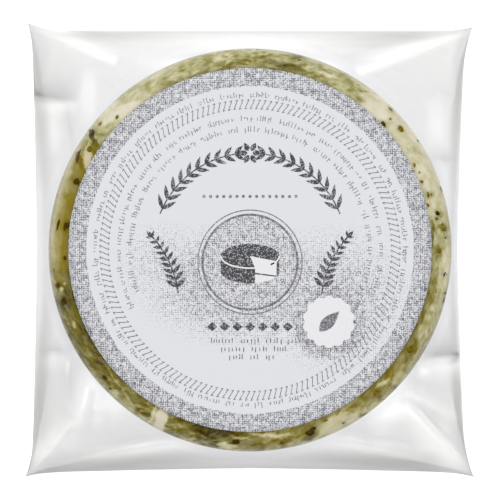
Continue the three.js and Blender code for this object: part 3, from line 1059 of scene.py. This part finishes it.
def paper_material(settings):
    """Matt label paper, offset printed in a coarse screen: fibrous and dull, its tone fields broken into specks."""
    material, tree, surface = new_material("Matt label paper, offset printed in a coarse screen")
    place = add_node(tree, "TexCoord", output="Object")
    flat = add_node(tree, "VectorMath", {0: place, 1: (1, 1, 0)}, operation="MULTIPLY")
    inside = disc_mask(tree, flat, (0, 0), (LABEL_HIGH[0] - settings.border) / MM, 0.15)
    border = add_node(tree, "Math", {0: 1.0, 1: inside}, operation="SUBTRACT")
    medallion = disc_mask(tree, flat, MEDALLION, MEDALLION_RADIUS, 0.2)
    round_seal = disc_mask(tree, flat, SEAL, SEAL_RADIUS + 2.6, 2.0)
    # A soft tone like ground mist across the lower half
    squashed = add_node(tree, "VectorMath", {0: flat, 1: (1.0, 1.75, 0)}, operation="MULTIPLY")
    ground = disc_mask(tree, squashed, (-1.0, -12.0), 18.0, 7.0)
    far_mist = disc_mask(tree, flat, (17.0, -10.0), 11.0, 7.0)
    near_mist = disc_mask(tree, flat, (-17.0, -3.0), 6.0, 5.0)
    tones = add_node(tree, "Math", {0: border, 1: 0.54}, operation="MULTIPLY")
    fields = ((medallion, 0.48), (round_seal, 0.6), (ground, 0.44), (far_mist, 0.42), (near_mist, 0.34))
    for mask, weight in fields:
        weighted = add_node(tree, "Math", {0: mask, 1: weight}, operation="MULTIPLY")
        tones = add_node(tree, "Math", {0: tones, 1: weighted}, operation="MAXIMUM")
    # Specks in square cells that lie aslant, with tone that drifts over about 1 mm
    aslant = add_node(tree, "VectorRotate", {"Vector": flat, "Angle": math.radians(45)}, rotation_type="Z_AXIS")
    cells = add_node(tree, "VectorMath", {0: aslant, 1: (settings.speck,) * 3}, operation="SNAP")
    specks = add_node(tree, "TexWhiteNoise", {"Vector": cells}, noise_dimensions="3D")
    # The screen of dots is drawn at 0.3 mm, coarser than print, as finer dots would blur into a grey
    dots = {"Vector": aslant, "Color1": (1, 1, 1, 1), "Color2": (0, 0, 0, 1), "Scale": 1 / 0.0003}
    screen = add_node(tree, "TexChecker", dots, output="Fac")
    specks = add_node(tree, "Mix", {0: 0.32, 2: specks, 3: screen})
    drift = add_node(tree, "TexNoise", {"Vector": flat, "Scale": 1 / 0.001, "Detail": 2.0})
    drift = add_node(
        tree, "MapRange", {"Value": drift, "From Min": 0.3, "From Max": 0.7, "To Min": 0.55, "To Max": 1.4}
    )
    density = add_node(tree, "Math", {0: tones, 1: drift}, operation="MULTIPLY")
    over = add_node(tree, "Math", {0: density, 1: specks}, operation="SUBTRACT")
    printed = add_node(tree, "MapRange", {"Value": over, "From Min": -0.18, "From Max": 0.38})
    # Where the screen has burst, the bare paper is brighter
    burst = add_node(tree, "TexWhiteNoise", {"Vector": cells}, noise_dimensions="2D")
    burst = add_node(tree, "MapRange", {"Value": burst, "From Min": 0.8})
    # Paper outside the tone fields is clean
    toned = add_node(tree, "MapRange", {"Value": tones, "From Max": 0.08})
    body = rgba(settings.paper)
    for pattern, tint in ((burst, settings.white), (printed, settings.tone)):
        factor = add_node(tree, "Math", {0: pattern, 1: toned}, operation="MULTIPLY")
        body = add_node(tree, "Mix", {0: factor, 6: body, 7: rgba(tint)}, output=2, data_type="RGBA")
    # Fibres about 0.5 mm long
    fibre = add_node(tree, "TexNoise", {"Vector": place, "Scale": 1 / 0.0005, "Detail": 3.0})
    bump = add_node(tree, "Bump", {"Height": fibre, "Strength": 0.15, "Distance": 0.03 * MM})
    shader = add_node(tree, "BsdfPrincipled", {"Base Color": body, "Roughness": 0.75, "IOR": 1.45, "Normal": bump})
    tree.links.new(shader, surface)
    return material


def ink_material(settings, name, ink):
    """Offset ink on matt paper: dull, with pinholes where the paper shows."""
    material, tree, surface = new_material(name)
    place = add_node(tree, "TexCoord", output="Object")
    cells = add_node(tree, "VectorMath", {0: place, 1: (settings.speck,) * 3}, operation="SNAP")
    specks = add_node(tree, "TexWhiteNoise", {"Vector": cells}, noise_dimensions="2D")
    bare = add_node(tree, "MapRange", {"Value": specks, "From Min": 0.6, "To Max": 0.6})
    colours = {0: bare, 6: rgba(ink), 7: rgba(settings.paper)}
    coloured = add_node(tree, "Mix", colours, output=2, data_type="RGBA")
    shader = add_node(tree, "BsdfPrincipled", {"Base Color": coloured, "Roughness": 0.68, "IOR": 1.48})
    tree.links.new(shader, surface)
    return material


class CROTTIN_OT_label(bpy.types.Operator):
    """Makes the round paper label and its printed ornaments"""

    bl_idname = "crottin.label"
    bl_label = "Label"

    def execute(self, context):
        settings = context.scene.crottin_label
        outer, low = LABEL_HIGH[0] / MM, LABEL_LOW[2] / MM
        # The paper leaves room for its waves and for the ink on top
        top = LABEL_HIGH[2] / MM - 0.06
        wave_height = 0.012
        around, rings = LABEL_AROUND, LABEL_RINGS
        vertices = []
        for level in (low, top):
            for ring in range(1, rings + 1):
                for step in range(around):
                    x, y = polar(outer * ring / rings, 2 * math.pi * step / around)
                    wave = wave_height * noise.noise(Vector((x, y, 0)) * 0.12) if level == top else 0
                    vertices.append((x, y, level + wave))
        half = rings * around
        faces = ring_faces(rings, around) + [face[::-1] for face in ring_faces(rings, around, half)]
        vertices += [(0, 0, low), (0, 0, top)]
        for step in range(around):
            following = (step + 1) % around
            faces.append((2 * half, following, step))
            faces.append((2 * half + 1, half + step, half + following))
            below, above = half - around, 2 * half - around
            faces.append((below + step, below + following, above + following, above + step))
        paper = make_piece("label_paper", vertices, faces, paper_material(settings))
        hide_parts("label")
        inks = {
            "label_black_ink": ink_material(settings, "Black offset ink on matt paper", settings.black),
            "label_grey_ink": ink_material(settings, "Grey offset ink on matt paper", settings.grey),
            "label_white": ink_material(settings, "Opaque white ink on matt paper", settings.white),
        }
        for name, ink in draw_label(top + wave_height).items():
            make_piece(name, ink.vertices, ink.faces, inks[name], smooth=False)
        return {"FINISHED"}


# Stage


def add_light(name, place, target, width, length, power):
    """A soft box that faces a target point. Sizes are in metres and the power is in watts."""
    lamp = bpy.data.lights.new(name, "AREA")
    lamp.shape = "RECTANGLE"
    lamp.size, lamp.size_y, lamp.energy = width, length, power
    light = bpy.data.objects.new(name, lamp)
    light.location = place
    light.rotation_euler = (Vector(target) - Vector(place)).to_track_quat("-Z", "Y").to_euler()
    bpy.context.scene.collection.objects.link(light)
    return light


def card_material(settings):
    """Matt white card, rolled: plain and dull, with a faint grain about 3 mm across."""
    material, tree, surface = new_material("Matt white card, rolled")
    place = add_node(tree, "TexCoord", output="Object")
    grain = add_node(tree, "TexNoise", {"Vector": place, "Scale": 1 / 0.003, "Detail": 2.0})
    bump = add_node(tree, "Bump", {"Height": grain, "Strength": 0.05, "Distance": 0.05 * MM})
    shader = add_node(tree, "BsdfPrincipled", {"Base Color": rgba(settings.floor), "Roughness": 0.9, "Normal": bump})
    tree.links.new(shader, surface)
    return material


class CROTTIN_OT_stage(bpy.types.Operator):
    """Lays the floor and sets the light and the camera"""

    bl_idname = "crottin.stage"
    bl_label = "Stage"

    def execute(self, context):
        settings = context.scene.crottin_stage
        scene = context.scene
        mesh = bpy.data.meshes.new("floor")
        mesh.from_pydata([(-3, -3, 0), (3, -3, 0), (3, 3, 0), (-3, 3, 0)], [], [(0, 1, 2, 3)])
        mesh.materials.append(card_material(settings))
        floor = bpy.data.objects.new("floor", mesh)
        scene.collection.objects.link(floor)

        world = bpy.data.worlds.new("Soft white room")
        world.use_nodes = True
        background = world.node_tree.nodes["Background"].inputs
        background["Color"].default_value = (1, 1, 1, 1)
        background["Strength"].default_value = settings.ambient
        scene.world = world
        middle = (0, 0, 0.01)
        for name, y, power in (("far_soft_box", 0.42, 0.70), ("near_soft_box", -0.42, 0.48)):
            add_light(name, (0, y, 0.72), middle, 0.7, 0.45, settings.key * power)
        for name, degrees, power in STRIPS:
            x, y = polar(0.7, math.radians(degrees))
            add_light(name, (x, y, 0.4), middle, 0.08, 0.5, settings.strip * power)
        # A wash over the floor alone keeps the shadow round the pouch faint
        wash = add_light("floor_wash", (0, 0, 1.6), (0, 0, 0), 1.2, 1.2, settings.wash)
        lit, blockers = bpy.data.collections.new("wash_lit"), bpy.data.collections.new("wash_blockers")
        lit.objects.link(floor)
        blockers.objects.link(floor)
        wash.light_linking.receiver_collection = lit
        wash.light_linking.blocker_collection = blockers
        scene.view_settings.view_transform = "Standard"

        lens = bpy.data.cameras.new("camera")
        lens.sensor_width = 36
        level = scene.crottin_film.seal_height
        lens.lens = 36 * (settings.camera_height - level) / settings.frame_width
        lens.clip_end = 10
        camera = bpy.data.objects.new("camera", lens)
        camera.location = (0, 0, settings.camera_height)
        scene.collection.objects.link(camera)
        scene.camera = camera
        return {"FINISHED"}


OPERATORS = (CROTTIN_OT_cheese, CROTTIN_OT_herbs, CROTTIN_OT_film, CROTTIN_OT_label, CROTTIN_OT_stage)
SETTINGS = {
    "crottin_cheese": CrottinCheeseSettings,
    "crottin_film": CrottinFilmSettings,
    "crottin_label": CrottinLabelSettings,
    "crottin_stage": CrottinStageSettings,
}


class CROTTIN_PT_panel(bpy.types.Panel):
    """Lists the pieces and their sizes and colours"""

    bl_idname = "CROTTIN_PT_panel"
    bl_label = "Crottin"
    bl_space_type = "VIEW_3D"
    bl_region_type = "UI"
    bl_category = "Crottin"

    def draw(self, context):
        for operator in OPERATORS:
            self.layout.operator(operator.bl_idname)
        for name in SETTINGS:
            box = self.layout.box()
            group = getattr(context.scene, name)
            for key in group.bl_rna.properties.keys():
                if key not in {"rna_type", "name"}:
                    box.prop(group, key)


def register():
    for name, group in SETTINGS.items():
        bpy.utils.register_class(group)
        setattr(bpy.types.Scene, name, bpy.props.PointerProperty(type=group))
    for item in (*OPERATORS, CROTTIN_PT_panel):
        bpy.utils.register_class(item)


def unregister():
    for item in (CROTTIN_PT_panel, *reversed(OPERATORS)):
        bpy.utils.unregister_class(item)
    for name, group in SETTINGS.items():
        delattr(bpy.types.Scene, name)
        bpy.utils.unregister_class(group)


def main():
    register()
    bpy.ops.crottin.cheese()
    bpy.ops.crottin.herbs()
    bpy.ops.crottin.film()
    bpy.ops.crottin.label()
    bpy.ops.crottin.stage()


if __name__ == "__main__":
    main()
